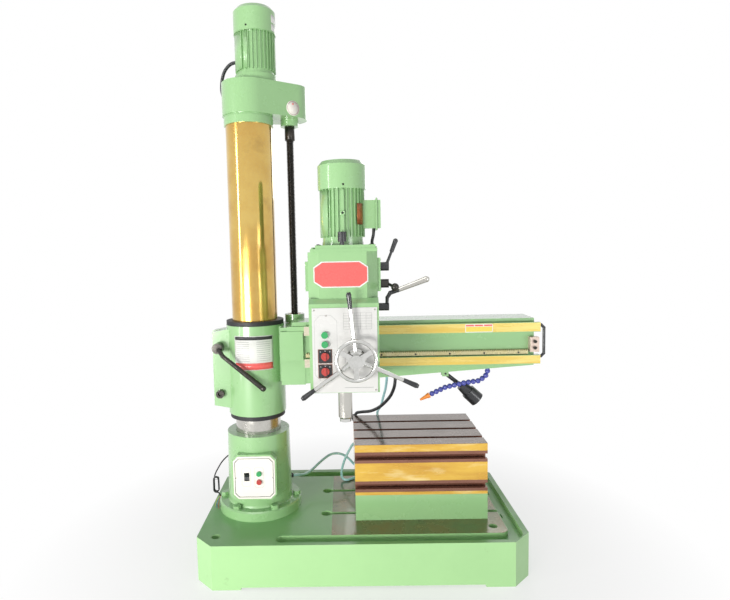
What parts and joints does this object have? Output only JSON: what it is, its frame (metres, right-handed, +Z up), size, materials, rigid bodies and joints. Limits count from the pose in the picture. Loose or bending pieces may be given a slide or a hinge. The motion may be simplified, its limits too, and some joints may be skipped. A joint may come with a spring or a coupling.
{
  "type": "radial arm drill",
  "caption": "Radial arm drilling machine: slotted base and box table, swinging column, rising arm, and a traversing head with quill feed, handwheel, levers and motors",
  "frame": {"origin": "middle of the base's outline, on the floor under its corner pads", "axes": "+Z up, +X out along the arm, -Y towards the operator"},
  "size_m": [1.4714, 0.8653, 2.365],
  "materials": {
    "enamel": "satin green enamel",
    "cream": "satin cream enamel",
    "panel": "printed aluminium panel",
    "oiled_iron": "machined and oiled",
    "oiled_steel": "ground, with a golden oil film",
    "steel": "turned and polished",
    "dark_steel": "oil-blackened",
    "bronze": "machined bronze",
    "rubber": "matt black",
    "black_plastic": "matt black moulding",
    "green_plastic": "gloss green moulding",
    "red_plastic": "gloss red moulding",
    "blue_plastic": "gloss blue-violet moulding",
    "orange_plastic": "gloss orange moulding",
    "hose": "soft light-blue tube"
  },
  "bodies": {
    "base": {"base_casting": "enamel", "work_table": "oiled_iron", "column_foot": "enamel", "foot_bolts": "enamel", "inner_column": "oiled_steel", "column_bearings": "bronze", "switch_cover": "cream", "foot_glands": "black_plastic", "supply_cable": "rubber", "cable_hank": "rubber", "cable_cores": "red_plastic", "hose_lower": "hose", "conduit_lower": "black_plastic"},
    "mains_switch": {"mains_rocker": "black_plastic"},
    "start_push": {"start_button": "green_plastic"},
    "stop_push": {"stop_button": "red_plastic"},
    "column": {"outer_column": "oiled_steel", "column_collar": "enamel", "lift_gearbox": "enamel", "gearbox_lid": "enamel", "lift_motor": "enamel", "lift_motor_cowl": "enamel", "lift_conduit": "black_plastic"},
    "lift_drive": {"lift_rotor": "steel"},
    "screw": {"lead_screw": "dark_steel"},
    "arm": {"arm_casting": "enamel", "sleeve_rings": "rubber", "arm_rack": "steel", "lift_nut": "bronze", "end_stop": "steel", "arm_bolts": "dark_steel", "arm_handle": "dark_steel", "hose_upper": "hose", "conduit_upper": "black_plastic", "coolant_joints": "blue_plastic"},
    "clamp": {"clamp_lever": "steel"},
    "lamp": {"work_lamp": "black_plastic"},
    "nozzle": {"coolant_nozzle": "orange_plastic"},
    "head": {"head_casting": "enamel", "gear_case": "enamel", "case_lid": "enamel", "control_panel": "panel", "side_covers": "enamel", "main_motor": "enamel", "motor_cowl": "enamel", "motor_cable": "rubber", "oil_cap": "black_plastic"},
    "main_drive": {"main_rotor": "steel"},
    "quill_slide": {"quill": "steel"},
    "spindle_turn": {"spindle": "steel"},
    "traverse": {"traverse_wheel": "steel"},
    "feed": {"feed_star": "steel", "feed_grips": "black_plastic"},
    "speed_select": {"speed_lever": "black_plastic"},
    "range_select": {"ball_lever": "steel"},
    "feed_clutch": {"clutch_lever": "steel"},
    "run_push": {"run_button": "green_plastic"},
    "halt_push": {"halt_button": "green_plastic"},
    "coolant_turn": {"coolant_switch": "red_plastic"},
    "lift_turn": {"lift_switch": "red_plastic"}
  },
  "joints": [
    {"name": "mains_rock", "type": "hinge", "parent": "base", "child": "mains_switch", "pos_m": [-0.485, -0.148, 0.373], "axis": [1, 0, 0], "range_deg": [-8, 8]},
    {"name": "start_press", "type": "slide", "parent": "base", "child": "start_push", "axis": [0, 1, 0], "range_m": [0, 0.004], "stiffness_N_per_m": 400},
    {"name": "stop_press", "type": "slide", "parent": "base", "child": "stop_push", "axis": [0, 1, 0], "range_m": [0, 0.004], "stiffness_N_per_m": 400},
    {"name": "arm_swing", "type": "hinge", "parent": "base", "child": "column", "pos_m": [-0.453, 0, 0.536], "axis": [0, 0, 1], "range_deg": [-180, 180], "deforming": ["hose_upper", "conduit_upper"]},
    {"name": "lift_motor_turn", "type": "hinge", "parent": "column", "child": "lift_drive", "pos_m": [-0.417, 0.017, 2.2], "axis": [0, 0, 1], "continuous": true},
    {"name": "arm_lift", "type": "slide", "parent": "column", "child": "arm", "axis": [0, 0, 1], "range_m": [-0.05, 0.75], "deforming": ["hose_upper", "conduit_upper"]},
    {"name": "screw_turn", "type": "hinge", "parent": "column", "child": "screw", "pos_m": [-0.283, 0.079, 1.5], "axis": [0, 0, 1], "range_deg": [-3010, 45010]},
    {"name": "clamp_swing", "type": "hinge", "parent": "arm", "child": "clamp", "pos_m": [-0.603, -0.098, 0.92], "axis": [0, -1, 0], "range_deg": [-20, 60]},
    {"name": "lamp_tilt", "type": "hinge", "parent": "arm", "child": "lamp", "pos_m": [0.382, -0.05, 0.784], "axis": [0, 1, 0], "range_deg": [-8, 15]},
    {"name": "nozzle_tilt", "type": "hinge", "parent": "arm", "child": "nozzle", "pos_m": [0.318, -0.097, 0.705], "axis": [0, 1, 0], "range_deg": [-20, 20]},
    {"name": "head_traverse", "type": "slide", "parent": "arm", "child": "head", "axis": [1, 0, 0], "range_m": [-0.03, 0.64]},
    {"name": "main_motor_turn", "type": "hinge", "parent": "head", "child": "main_drive", "pos_m": [-0.054, -0.29, 1.5], "axis": [0, 0, 1], "continuous": true},
    {"name": "quill_feed", "type": "slide", "parent": "head", "child": "quill_slide", "axis": [0, 0, -1], "range_m": [0, 0.24]},
    {"name": "spindle_spin", "type": "hinge", "parent": "quill_slide", "child": "spindle_turn", "pos_m": [-0.057, -0.29, 0.9], "axis": [0, 0, 1], "continuous": true},
    {"name": "traverse_turn", "type": "hinge", "parent": "head", "child": "traverse", "pos_m": [-0.014, -0.482, 0.9315], "axis": [0, 1, 0], "range_deg": [-50, 985]},
    {"name": "feed_turn", "type": "hinge", "parent": "head", "child": "feed", "pos_m": [-0.014, -0.457, 0.9315], "axis": [0, -1, 0], "range_deg": [0, 765]},
    {"name": "speed_swing", "type": "hinge", "parent": "head", "child": "speed_select", "pos_m": [0.105, -0.33, 1.266], "axis": [1, 0, 0], "range_deg": [-25, 25]},
    {"name": "range_swing", "type": "hinge", "parent": "head", "child": "range_select", "pos_m": [0.105, -0.33, 1.201], "axis": [-1, 0, 0], "range_deg": [0, 40]},
    {"name": "clutch_swing", "type": "hinge", "parent": "head", "child": "feed_clutch", "pos_m": [0.105, -0.33, 1.111], "axis": [1, 0, 0], "range_deg": [-20, 20]},
    {"name": "run_press", "type": "slide", "parent": "head", "child": "run_push", "axis": [0, 1, 0], "range_m": [0, 0.004], "stiffness_N_per_m": 400},
    {"name": "halt_press", "type": "slide", "parent": "head", "child": "halt_push", "axis": [0, 1, 0], "range_m": [0, 0.004], "stiffness_N_per_m": 400},
    {"name": "coolant_switch_turn", "type": "hinge", "parent": "head", "child": "coolant_turn", "pos_m": [-0.128, -0.436, 0.941], "axis": [0, 1, 0], "range_deg": [-45, 45]},
    {"name": "lift_switch_turn", "type": "hinge", "parent": "head", "child": "lift_turn", "pos_m": [-0.128, -0.436, 0.885], "axis": [0, 1, 0], "range_deg": [-45, 45]}
  ],
  "couplings": [
    {"joint": "screw_turn", "follows": "arm_lift", "rad_per_m": 1047.2},
    {"joint": "traverse_turn", "follows": "head_traverse", "rad_per_m": 26.667},
    {"joint": "feed_turn", "follows": "quill_feed", "rad_per_m": 55.556}
  ]
}
